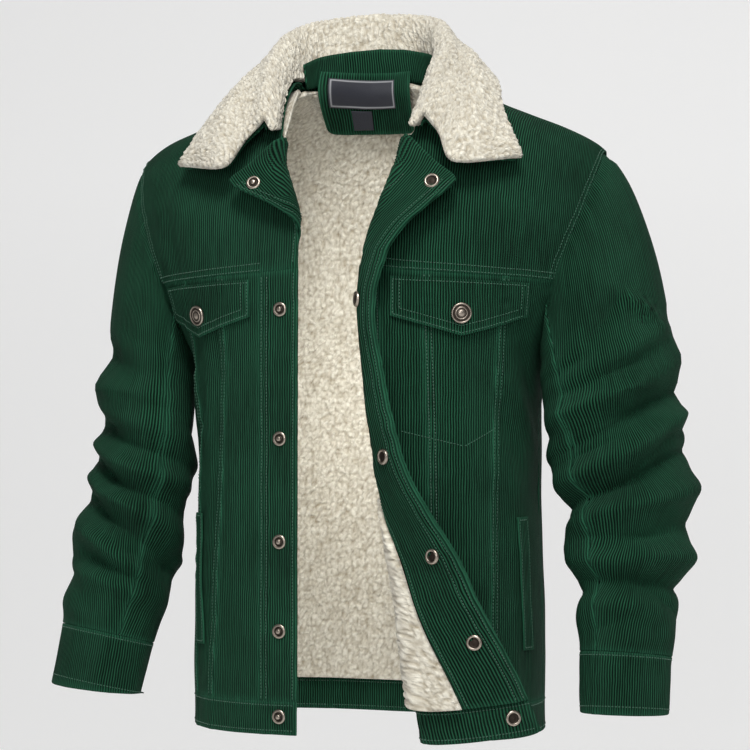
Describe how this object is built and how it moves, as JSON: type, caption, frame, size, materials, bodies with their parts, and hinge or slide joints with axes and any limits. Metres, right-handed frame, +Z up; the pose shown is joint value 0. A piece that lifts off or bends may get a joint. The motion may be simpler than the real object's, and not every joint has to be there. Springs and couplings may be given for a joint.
{
  "type": "sherpa lined jacket",
  "caption": "Hollow, worn corduroy trucker jacket lined with cream sherpa pile, fronts open and one turned back, with snaps and chest flaps.",
  "frame": {"origin": "middle of the neck, level with the shoulder seams at the neck, where the wearer's shoulders hold the jacket", "axes": "+X towards the wearer's left, -Y towards the front, +Z up"},
  "size_m": [0.637, 0.3111, 0.7345],
  "materials": {
    "corduroy": "dark green ribbed corduroy, matt with a soft nap",
    "pile": "cream sherpa pile in small curls",
    "label": "dark woven tape, bare",
    "snap_metal": "antiqued pale metal"
  },
  "bodies": {
    "root": {"back_centre": "corduroy", "back_yoke": "corduroy", "hem_back": "corduroy", "under_collar": "corduroy", "collar_stand": "corduroy", "label_patch": "corduroy", "back_side_left": "corduroy", "back_side_right": "corduroy", "placket_left": "corduroy", "placket_right": "corduroy", "front_centre_left": "corduroy", "front_centre_right": "corduroy", "front_middle_left": "corduroy", "front_middle_right": "corduroy", "front_side_left": "corduroy", "front_side_right": "corduroy", "front_yoke_left": "corduroy", "front_yoke_right": "corduroy", "hem_front_left": "corduroy", "hem_front_right": "corduroy", "facing_left": "corduroy", "facing_right": "corduroy", "flap_left": "corduroy", "flap_right": "corduroy", "welt_left": "corduroy", "welt_right": "corduroy", "upper_sleeve_left": "corduroy", "upper_sleeve_right": "corduroy", "under_sleeve_left": "corduroy", "under_sleeve_right": "corduroy", "cuff_left": "corduroy", "cuff_right": "corduroy", "collar": "pile", "lining_back": "pile", "lining_left": "pile", "lining_right": "pile", "woven_label": "label", "size_tag": "label", "stud_1": "snap_metal", "stud_2": "snap_metal", "stud_3": "snap_metal", "stud_4": "snap_metal", "stud_5": "snap_metal", "stud_6": "snap_metal", "socket_1": "snap_metal", "socket_2": "snap_metal", "socket_3": "snap_metal", "socket_4": "snap_metal", "socket_5": "snap_metal", "socket_6": "snap_metal", "flap_button_left": "snap_metal", "flap_button_right": "snap_metal"}
  },
  "joints": []
}
